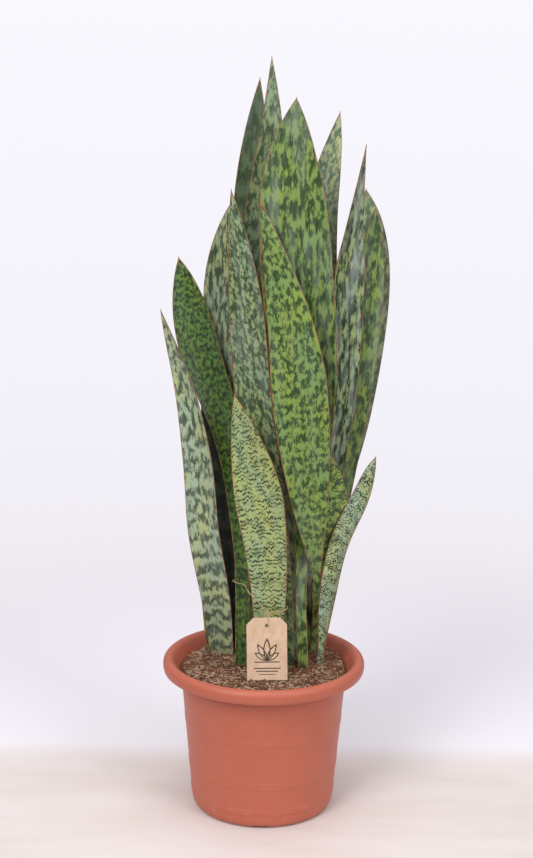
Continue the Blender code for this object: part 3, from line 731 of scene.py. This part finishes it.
def build_pot():
    """The pot, with its notched foot ring and drain holes."""
    points, faces = lathe(pot_outline(), POT_SEGMENTS)
    pot = add_piece("plastic_pot", points, faces, pot_plastic(), "pot_plastic", ["pot"], 40.0)
    cutters = []
    for number in range(POT_NOTCHES):
        turn = math.radians(POT_NOTCH_START + 360.0 / POT_NOTCHES * number)
        place = Matrix.Rotation(turn, 4, "Z") @ Matrix.Translation((NOTCH_RADIUS * MM, 0.0, 0.0))
        deep, half = NOTCH_REACH / 2 * MM, NOTCH_WIDTH / 2 * MM
        corners = [(-deep, -half), (deep, -half), (deep, half), (-deep, half)]
        cutters.append(prism(corners, place, -NOTCH_HEIGHT * MM, NOTCH_HEIGHT * MM))
    for number in range(POT_DRAINS):
        turn = math.tau * (number + 0.5) / POT_DRAINS
        place = Matrix.Translation(Vector((math.cos(turn), math.sin(turn), 0.0)) * DRAIN_CIRCLE * MM)
        cutters.append(prism(circle(DRAIN_RADIUS * MM, 24), place, 1.0 * MM, 9.0 * MM))
    apply_cut(pot, *join_meshes(cutters))
    smooth(pot.data, 38.0)


# ---- potting mix


def potting_mix():
    """Damp coir and bark: dark brown crumbs with paler flecks."""
    skin = Skin("potting_mix")
    here = skin.here()
    lump = skin.cells(here, 420.0)
    crumb = skin.noise(here, 520.0, 4.0, 0.65)
    cloud = skin.noise(here, 45.0, 2.0)
    base = skin.blend(crumb, 0.3, 0.7, (0.060, 0.022, 0.012), (0.300, 0.128, 0.068))
    base = skin.tinted(base, cloud, 0.35, 0.65, 0.5, (0.115, 0.045, 0.025))
    grain = skin.mix(skin.spread(lump, 0.1, 0.7, 0.45, 0.0), base, (0.045, 0.016, 0.009))
    fleck = skin.noise(skin.stretched(here, (1.0, 1.0, 1.0), (3.0, 1.0, 2.0)), 950.0, 2.0)
    colour = skin.tinted(grain, fleck, 0.62, 0.72, 0.75, (0.50, 0.33, 0.19))
    normal = skin.bump(crumb, 0.0011)
    return skin.finish(colour, skin.spread(crumb, 0.2, 0.8, 0.80, 0.98), normal,
                       Specular_IOR_Level=0.2)


def coir(name, dark, light):
    """Dry fibre, paler on top and browner in patches."""
    skin = Skin(name)
    here = skin.here()
    patch = skin.noise(here, 160.0, 2.0)
    fine = skin.noise(here, 1800.0, 2.0)
    colour = skin.blend(patch, 0.35, 0.65, dark, light)
    colour = skin.tinted(colour, fine, 0.4, 0.7, 0.4, [value * 0.55 for value in dark])
    return skin.finish(colour, skin.spread(fine, 0.3, 0.7, 0.7, 0.92), skin.bump(fine, 0.00008))


SOIL_GRID = 1.55  # mm
SOIL_REACH = 97.6  # mm from the axis
POCKET_LEVEL = 161.0  # mm: a ray that lands lower has fallen into a leaf's pocket
RAY_START = 0.3  # m
CRUST_DEPTH = 1.5  # mm
CRUST_WAVES = ((7.5, 1.7, 1.0), (3.1, 8.2, 0.8), (1.3, 4.4, 0.35))  # each length, seed and height
CRUST_LOW = 0.00015  # m that the crust's underside stands above the CAD soil
FIBRE_CURL = 4.2  # most radians that a fibre turns through
FIBRE_LIFT = 2.6  # most mm that its middle stands up


class Ground:
    """The CAD soil's top, read by rays from above."""

    def __init__(self):
        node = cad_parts["soil"]
        self.tree = BVHTree.FromPolygons(
            [vert.co.copy() for vert in node.data.vertices],
            [tuple(face.vertices) for face in node.data.polygons])

    def height(self, x, y):
        """Height in mm at a place in mm, or None in a pocket or off the soil."""
        hit = self.tree.ray_cast(Vector((x * MM, y * MM, RAY_START)), -UP)[0]
        if hit is None or hit.z < POCKET_LEVEL * MM:
            return None
        return hit.z / MM


def crust_lift(x, y):
    """How far the loose top layer stands above the CAD soil, in mm."""
    waves = (height * noise.noise(Vector((x / length, y / length, seed)))
             for length, seed, height in CRUST_WAVES)
    return sum(waves, CRUST_DEPTH)


def build_crust(ground, material):
    """The loose top layer of the mix: a closed uneven sheet with a hole round each leaf."""
    count = int(2 * SOIL_REACH / SOIL_GRID)
    spots = {}
    points = []
    for row in range(count + 1):
        for column in range(count + 1):
            x = -SOIL_REACH + SOIL_GRID * column
            y = -SOIL_REACH + SOIL_GRID * row
            if math.hypot(x, y) > SOIL_REACH:
                continue
            height = ground.height(x, y)
            if height is None:
                continue
            spots[(row, column)] = len(points)
            points.append((x * MM, y * MM, (height + max(crust_lift(x, y), 0.35)) * MM))
    top_count = len(points)
    points += [(x, y, ground.height(x / MM, y / MM) * MM + CRUST_LOW) for x, y, _ in points]
    squares = []
    for row, column in spots:
        corners = [spots.get(spot) for spot in (
            (row, column), (row, column + 1), (row + 1, column + 1), (row + 1, column))]
        if None not in corners:
            squares.append(corners)
    faces = [tuple(corners) for corners in squares]
    faces += [tuple(top_count + corner for corner in reversed(corners)) for corners in squares]
    sides = [pair for corners in squares for pair in zip(corners, corners[1:] + corners[:1])]
    shared = set(sides)
    faces += [(second, first, top_count + first, top_count + second)
              for first, second in sides if (second, first) not in shared]
    bm = bmesh.new()
    verts = [bm.verts.new(point) for point in points]
    for face in faces:
        bm.faces.new([verts[corner] for corner in face])
    loose = [vert for vert in bm.verts if not vert.link_faces]
    bmesh.ops.delete(bm, geom=loose, context="VERTS")
    place_piece("soil_crust", finished_mesh(bm, "soil_crust"), material, (), 80.0)


def scattered(rng, ground, blades, count, clear, reach=94.0):
    """Seeded places on the soil, in mm, that keep clear of the leaves."""
    found = []
    while len(found) < count:
        radius = reach * math.sqrt(rng.random())
        turn = math.tau * rng.random()
        x = radius * math.cos(turn)
        y = radius * math.sin(turn)
        height = ground.height(x, y)
        if height is None:
            continue
        spot = Vector((x, y, height + 1.5)) * MM
        if blades.find_nearest(spot, clear * MM)[0] is None:
            found.append((x, y, height))
    return found


def crumb_mesh(rng, x, y, z, size, flat=0.7):
    """An irregular lump of mix or bark."""
    bm = bmesh.new()
    bmesh.ops.create_icosphere(bm, subdivisions=1 if size < 1.6 else 2, radius=1.0)
    seed = rng.random() * 50.0
    turn = Euler((rng.random() * 0.8, rng.random() * 0.8, rng.random() * math.tau)).to_matrix()
    stretch = Vector((size * rng.uniform(0.8, 1.5), size * rng.uniform(0.6, 1.0), size * flat))
    points = []
    for vert in bm.verts:
        bulge = 1.0 + 0.45 * noise.noise(vert.co * 1.4 + Vector((seed, 0.0, 0.0)))
        local = Vector(vert.co * bulge)
        local = turn @ Vector((local.x * stretch.x, local.y * stretch.y, local.z * stretch.z))
        points.append(Vector((x + local.x, y + local.y, z + local.z)) * MM)
    faces = [tuple(vert.index for vert in face.verts) for face in bm.faces]
    bm.free()
    return points, faces


def fibre_mesh(rng, ground, x, y, length, radius):
    """A curled fibre that lies along the mix."""
    turn = rng.random() * math.tau
    bend = rng.uniform(-FIBRE_CURL, FIBRE_CURL)
    count = 9
    route = []
    rise = rng.uniform(0.2, 1.0) * FIBRE_LIFT
    for step in range(count):
        height = ground.height(x, y)
        if height is None:
            break
        arch = math.sin(math.pi * step / (count - 1)) * rise
        level = height + crust_lift(x, y) + radius * 0.6 + arch
        route.append(Vector((x, y, level)) * MM)
        x += math.cos(turn) * length / (count - 1)
        y += math.sin(turn) * length / (count - 1)
        turn += bend / (count - 1) + rng.uniform(-0.25, 0.25)
        if math.hypot(x, y) > 96.5:
            break
    if len(route) < 4:
        return [], []
    whole = distances_along(route)[-1]

    def radius_at(distance, _):
        return radius * MM * (0.55 + 0.45 * math.sin(math.pi * min(distance / whole, 1.0)))

    return tube_mesh(route, radius_at, 5)


def build_litter(ground, blades, mix):
    """Loose crumbs, bark chips and coir fibres on top of the mix."""
    rng = random.Random(7)
    chips = coir("bark_chip", (0.070, 0.030, 0.018), (0.260, 0.125, 0.065))
    pale = coir("coir_pale", (0.400, 0.240, 0.140), (0.780, 0.590, 0.400))
    brown = coir("coir_brown", (0.085, 0.035, 0.018), (0.260, 0.120, 0.060))
    parts = []
    for x, y, z in scattered(rng, ground, blades, 900, 3.2):
        size = rng.uniform(0.7, 2.3) ** 1.1
        parts.append(crumb_mesh(rng, x, y, z + crust_lift(x, y) + size * 0.15, size))
    add_piece("loose_crumbs", *join_meshes(parts), mix, "potting_mix")
    parts = []
    for x, y, z in scattered(rng, ground, blades, 90, 6.0, 91.0):
        size = rng.uniform(2.0, 4.0)
        parts.append(crumb_mesh(rng, x, y, z + crust_lift(x, y) + size * 0.2, size, 0.35))
    add_piece("bark_chips", *join_meshes(parts), chips, "potting_mix")
    for name, material, count, radius in (("coir_pale_fibres", pale, 900, 0.27),
                                          ("coir_brown_fibres", brown, 420, 0.36)):
        parts = []
        for x, y, _ in scattered(rng, ground, blades, count, 2.6):
            length = rng.uniform(7.0, 22.0)
            parts.append(fibre_mesh(rng, ground, x, y, length, radius * rng.uniform(0.7, 1.25)))
        parts = [part for part in parts if part[0]]
        add_piece(name, *join_meshes(parts), material, "potting_mix")


def blade_tree(blades):
    """All the blades' faces in one search tree."""
    points, faces = join_meshes([
        ([vert.co.copy() for vert in blade.data.vertices],
         [tuple(face.vertices) for face in blade.data.polygons]) for blade in blades])
    return BVHTree.FromPolygons(points, faces)


# ---- tag, twine and knot


def kraft_card():
    """Kraft card with fibres, and a printed mark read from the mesh."""
    skin = Skin("kraft_card")
    here = skin.here()
    printed = skin.attribute("card_place")[2]
    fibre = skin.noise(skin.stretched(here, (420.0, 420.0, 1500.0)), 1.0, 3.0, 0.6, 0.6)
    cloud = skin.noise(here, 70.0, 3.0)
    fleck = skin.noise(skin.stretched(here, (900.0, 900.0, 500.0), (2.0, 0.0, 0.0)), 1.0, 2.0)
    colour = skin.blend(cloud, 0.3, 0.7, (0.640, 0.450, 0.315), (0.730, 0.530, 0.385))
    colour = skin.tinted(colour, fibre, 0.5, 0.75, 0.35, (0.55, 0.36, 0.22))
    colour = skin.tinted(colour, fleck, 0.66, 0.74, 0.6, (0.34, 0.20, 0.11))
    colour = skin.tinted(colour, printed, 0.2, 0.5, 0.6, (0.62, 0.42, 0.22))
    colour = skin.tinted(colour, printed, 0.60, 0.85, 0.93, (0.035, 0.028, 0.024))
    normal = skin.bump(fibre, 0.00005)
    return skin.finish(colour, skin.spread(fibre, 0.3, 0.7, 0.75, 0.9), normal,
                       Specular_IOR_Level=0.25)


TAG_WIDTH = 47.0
TAG_HEIGHT = 74.0
TAG_CHAMFER = 8.0
TAG_THICKNESS = 0.6
TAG_HOLE_RADIUS = 2.1
TAG_HOLE_DROP = 9.5
TAG_LEAN = math.radians(-6.0)
TAG_ROLL = math.radians(-1.2)
TAG_GRID = 0.5
TAG_CURL = 0.6  # mm


def leaf_mark(x, y, foot, tilt, length, width):
    """Signed distance in mm to a pointed leaf shape, below 0 inside it."""
    turn = math.radians(tilt)
    dx, dy = x - foot[0], y - foot[1]
    along = dy * math.cos(turn) + dx * math.sin(turn) - length / 2
    side = abs(dx * math.cos(turn) - dy * math.sin(turn))
    radius = (length ** 2 / 4 + width ** 2 / 4) / width
    return math.hypot(along, side + radius - width / 2) - radius


def print_at(x, y):
    """Ink on the card at a place in mm from its middle: 1 for dark lines, 0.5 for faint leaves."""
    shade = 0.0
    for column in range(4):
        for row in range(2):
            foot = (-16.5 + 11.0 * column + 5.5 * row, 13.0 - 13.0 * row)
            if leaf_mark(x, y, foot, 12.0, 15.0, 4.6) < 0.0 and y < 30.0:
                shade = 0.5
    for tilt, length, width in ((0.0, 25.0, 7.0), (30.0, 21.0, 6.2), (-30.0, 21.0, 6.2),
                                (58.0, 16.0, 5.4), (-58.0, 16.0, 5.4)):
        if abs(leaf_mark(x, y, (0.0, -13.5), tilt, length, width)) < 0.75:
            shade = 1.0
    if abs(y + 15.6) < 0.8 and abs(x) < 15.0:
        shade = 1.0
    for row in range(3):
        if abs(y + 23.0 + 3.6 * row) < 0.65 and abs(x) < 16.0 - 3.0 * row:
            shade = 1.0
    return shade


def build_tag():
    """A slightly curled card with two cut corners and a punched hole."""
    low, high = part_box("tag")
    middle = (low + high) / 2
    place = (Matrix.Translation(middle) @ Matrix.Rotation(TAG_LEAN, 4, "X")
             @ Matrix.Rotation(TAG_ROLL, 4, "Y"))
    columns = int(TAG_WIDTH / TAG_GRID)
    rows = int(TAG_HEIGHT / TAG_GRID)
    bm = bmesh.new()
    grid = [[bm.verts.new((-TAG_WIDTH / 2 + TAG_WIDTH * column / columns, 0.0,
                           -TAG_HEIGHT / 2 + TAG_HEIGHT * row / rows))
             for column in range(columns + 1)] for row in range(rows + 1)]
    for row in range(rows):
        for column in range(columns):
            bm.faces.new((grid[row][column], grid[row][column + 1],
                          grid[row + 1][column + 1], grid[row + 1][column]))
    for side in (-1, 1):
        corner = Vector((side * (TAG_WIDTH / 2 - TAG_CHAMFER / 2), 0.0,
                         TAG_HEIGHT / 2 - TAG_CHAMFER / 2))
        bmesh.ops.bisect_plane(bm, geom=bm.verts[:] + bm.edges[:] + bm.faces[:], dist=0.0001,
                               plane_co=corner, plane_no=(side, 0.0, 1.0), clear_outer=True)
    grown = bmesh.ops.extrude_face_region(bm, geom=bm.faces[:])
    moved = [item for item in grown["geom"] if isinstance(item, bmesh.types.BMVert)]
    bmesh.ops.translate(bm, vec=(0.0, TAG_THICKNESS, 0.0), verts=moved)
    bmesh.ops.translate(bm, vec=(0.0, -TAG_THICKNESS / 2, 0.0), verts=bm.verts[:])
    bmesh.ops.recalc_face_normals(bm, faces=bm.faces[:])
    mesh = finished_mesh(bm, "tag_card")
    tag = place_piece("tag_card", mesh, kraft_card(), ["tag"], 40.0)
    hole = prism(circle(TAG_HOLE_RADIUS, 32), Matrix.Rotation(math.radians(90.0), 4, "X"), -3.0, 3.0)
    lift = TAG_HEIGHT / 2 - TAG_HOLE_DROP
    apply_cut(tag, [point + Vector((0.0, 0.0, lift)) for point in hole[0]], hole[1])
    marks = []
    for vert in tag.data.vertices:
        x, depth, z = vert.co
        inked = print_at(x, z) if depth < 0.0 else 0.0
        marks.append((x, z, inked))
        curl = 0.9 * (x / (TAG_WIDTH / 2)) ** 2 + 0.5 * (z / (TAG_HEIGHT / 2)) ** 2 - 0.4
        vert.co = place @ (Vector((x, depth - curl * TAG_CURL, z)) * MM)
    write_attribute(tag.data, "card_place", marks)
    smooth(tag.data, 40.0)


def twine_skin():
    """Jute: tan plies with darker hollows and pale hairs."""
    skin = Skin("twine")
    here = skin.here()
    fine = skin.noise(here, 1500.0, 3.0)
    patch = skin.noise(here, 180.0, 2.0)
    colour = skin.blend(fine, 0.3, 0.7, (0.330, 0.215, 0.100), (0.640, 0.480, 0.280))
    colour = skin.tinted(colour, patch, 0.35, 0.65, 0.4, (0.42, 0.27, 0.13))
    return skin.finish(colour, skin.spread(fine, 0.3, 0.7, 0.8, 0.95), skin.bump(fine, 0.0001))


def plied_radius(distance, turn):
    """Radius of plied twine at a place along and round it."""
    lobes = math.cos(TWINE_PLIES * (turn - math.tau * distance / TWINE_PITCH))
    return TWINE_DIAMETER / 2 * (0.88 + 0.12 * lobes)


def build_twine(material):
    """The string through the tag's hole and round two leaves."""
    knots = distances_along(TWINE_ROUTE)
    length = float(knots[-1])
    count = int(length / TWINE_STEP)
    path = smooth_rows(TWINE_ROUTE, knots, np.linspace(0.0, length, count))
    points, faces = tube_mesh(path, plied_radius, TWINE_SIDES)
    return add_piece("twine_string", points, faces, material, "twine", ["tag_string"]), path


def build_knot(material):
    """A small overhand knot with two short frayed ends."""
    low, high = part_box("string_knot")
    middle = (low + high) / 2
    size = (high.x - low.x) / 2 * 0.235
    thickness = TWINE_DIAMETER * 0.45
    count = 96
    loop = []
    for step in range(count + 1):
        turn = math.tau * step / count
        wide = 2 + math.cos(3 * turn)
        spot = Vector((wide * math.cos(2 * turn), math.sin(3 * turn) * 1.2, wide * math.sin(2 * turn)))
        loop.append(middle + spot * size)
    parts = [tube_mesh(loop[:-1], lambda distance, turn: thickness, 8)]
    for side in (-1, 1):
        tail = [middle + Vector((side * (0.7 + 0.9 * step), -0.5 - 0.12 * step, -0.3 - 0.55 * step)) * MM
                for step in range(5)]
        parts.append(tube_mesh(tail, lambda distance, turn: thickness * 0.8, 8))
    return add_piece("twine_knot", *join_meshes(parts), material, "twine", ["string_knot"])


# ---- buried rhizomes


def rhizome_skin():
    """Pale orange-brown rhizome with darker ring scars."""
    skin = Skin("rhizome_skin")
    here = skin.here()
    cloud = skin.noise(here, 60.0, 3.0)
    scar = skin.noise(skin.stretched(here, (240.0, 60.0, 60.0)), 1.0, 2.0)
    colour = skin.blend(cloud, 0.3, 0.7, (0.46, 0.25, 0.12), (0.68, 0.45, 0.25))
    colour = skin.tinted(colour, scar, 0.6, 0.7, 0.8, (0.20, 0.10, 0.05))
    return skin.finish(colour, skin.spread(cloud, 0.3, 0.7, 0.6, 0.8), skin.bump(scar, 0.0006))


def dress_cad_nodes(mix):
    """Materials for the CAD nodes that stay: the body of the mix and the rhizomes."""
    looks = {"soil": mix}
    buried = rhizome_skin()
    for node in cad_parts:
        if node.startswith("rhizome"):
            looks[node] = buried
    for node, material in looks.items():
        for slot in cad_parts[node].material_slots:
            slot.link = "OBJECT"
            slot.material = material


# ---- stage, light and camera

FLOOR_REACH = 1.4
FLOOR_DROP = 0.0002  # below the pot's foot, so that the two faces don't lie in one plane
# Backdrop colours by the height of the ray's direction, -1 down to 1 up
SEEN_TONES = ((-0.45, (0.80, 0.74, 0.79)), (-0.20, (0.90, 0.885, 0.945)), (0.10, (0.955, 0.947, 1.0)))
LIGHT_TONES = ((-0.6, (0.09, 0.08, 0.08)), (0.0, (0.34, 0.34, 0.35)), (0.35, (0.52, 0.52, 0.54)),
               (1.0, (0.72, 0.72, 0.74)))


def build_floor():
    """A pale floor that fades into the backdrop."""
    skin = Skin("floor")
    here = skin.here()
    bend = skin.noise(skin.stretched(here, (3.0, 0.0, 0.0)), 1.0, 1.0)
    behind = skin.maths("MULTIPLY_ADD", bend, 0.05, skin.split(here)[1])
    cloud = skin.noise(skin.stretched(here, (4.0, 14.0, 1.0)), 1.0, 4.0, 0.6)
    near = skin.blend(cloud, 0.35, 0.7, (0.75, 0.68, 0.66), (0.70, 0.62, 0.58))
    colour = skin.blend(behind, 0.12, 0.19, near, (0.84, 0.80, 0.85))
    distance = skin.node("ShaderNodeVectorMath", {0: here}, operation="LENGTH")
    skin.feed(skin.shader.inputs["Alpha"], skin.spread(distance.outputs["Value"], 0.35, 1.3, 1.0, 0.0))
    skin.finish(colour, 0.75, Specular_IOR_Level=0.15)
    corners = [(x * FLOOR_REACH, y * FLOOR_REACH, -FLOOR_DROP)
               for x, y in ((-1, -1), (1, -1), (1, 1), (-1, 1))]
    mesh = new_mesh("floor", corners, [(0, 1, 2, 3)])
    mesh.materials.append(skin.material)
    floor = add_object("floor", mesh)


def build_world():
    """Even studio surroundings, seen white above and grey-pink low down, that light the plant softly."""
    world = bpy.data.worlds.new("studio")
    bpy.context.scene.world = world
    world.use_nodes = True
    tree = world.node_tree
    coordinates = tree.nodes.new("ShaderNodeTexCoord")
    split = tree.nodes.new("ShaderNodeSeparateXYZ")
    tree.links.new(coordinates.outputs["Generated"], split.inputs[0])
    seen = add_background(tree, split.outputs[2], SEEN_TONES)
    lighting = add_background(tree, split.outputs[2], LIGHT_TONES)
    ray = tree.nodes.new("ShaderNodeLightPath")
    mixed = tree.nodes.new("ShaderNodeMixShader")
    tree.links.new(ray.outputs["Is Camera Ray"], mixed.inputs[0])
    tree.links.new(lighting, mixed.inputs[1])
    tree.links.new(seen, mixed.inputs[2])
    tree.links.new(mixed.outputs[0], tree.nodes["World Output"].inputs["Surface"])


def add_background(tree, level, tones):
    """A background whose colour changes with the level that it is seen at, from -1 to 1."""
    spread = tree.nodes.new("ShaderNodeMapRange")
    spread.inputs["From Min"].default_value = -1.0
    tree.links.new(level, spread.inputs["Value"])
    ramp = tree.nodes.new("ShaderNodeValToRGB")
    tree.links.new(spread.outputs[0], ramp.inputs["Fac"])
    stops = ramp.color_ramp.elements
    while len(stops) < len(tones):
        stops.new(0.5)
    for stop, (place, colour) in zip(stops, tones):
        stop.position = (place + 1) / 2
        stop.color = (*colour, 1.0)
    background = tree.nodes.new("ShaderNodeBackground")
    tree.links.new(ramp.outputs["Color"], background.inputs["Color"])
    return background.outputs[0]


def add_light(name, place, aim, size, energy):
    data = bpy.data.lights.new(name, "AREA")
    data.shape = "RECTANGLE"
    data.size, data.size_y = size
    data.energy = energy
    light = add_object(name, data)
    light.location = place
    light.rotation_euler = (Vector(aim) - Vector(place)).to_track_quat("-Z", "Y").to_euler()


def build_camera():
    data = bpy.data.cameras.new("camera")
    data.lens = CAMERA_LENS
    data.sensor_width = 36.0
    camera = add_object("camera", data)
    turn = Matrix.Rotation(math.pi / 2 - CAMERA_PITCH, 4, "X") @ Matrix.Rotation(CAMERA_ROLL, 4, "Z")
    camera.matrix_world = Matrix.Translation(CAMERA_PLACE) @ turn
    bpy.context.scene.camera = camera


build_camera()
bpy.context.scene.view_settings.view_transform = "Standard"
twine = twine_skin()
string, string_path = build_twine(twine)
knot = build_knot(twine)
build_tag()
leaves = build_leaves()
leaf_tree = blade_tree(leaves)
build_pot()
soil_top = Ground()
mix_skin = potting_mix()
build_crust(soil_top, mix_skin)
build_litter(soil_top, leaf_tree, mix_skin)
dress_cad_nodes(mix_skin)
build_floor()
build_world()
add_light("key", (-1.3, -2.1, 2.2), (0.0, 0.0, 0.42), (1.2, 1.6), 50.0)
add_light("fill", (1.7, -1.9, 1.6), (0.0, 0.0, 0.4), (1.0, 1.6), 25.0)
add_light("top", (0.1, -0.3, 2.6), (0.0, 0.0, 0.3), (1.4, 1.4), 14.0)
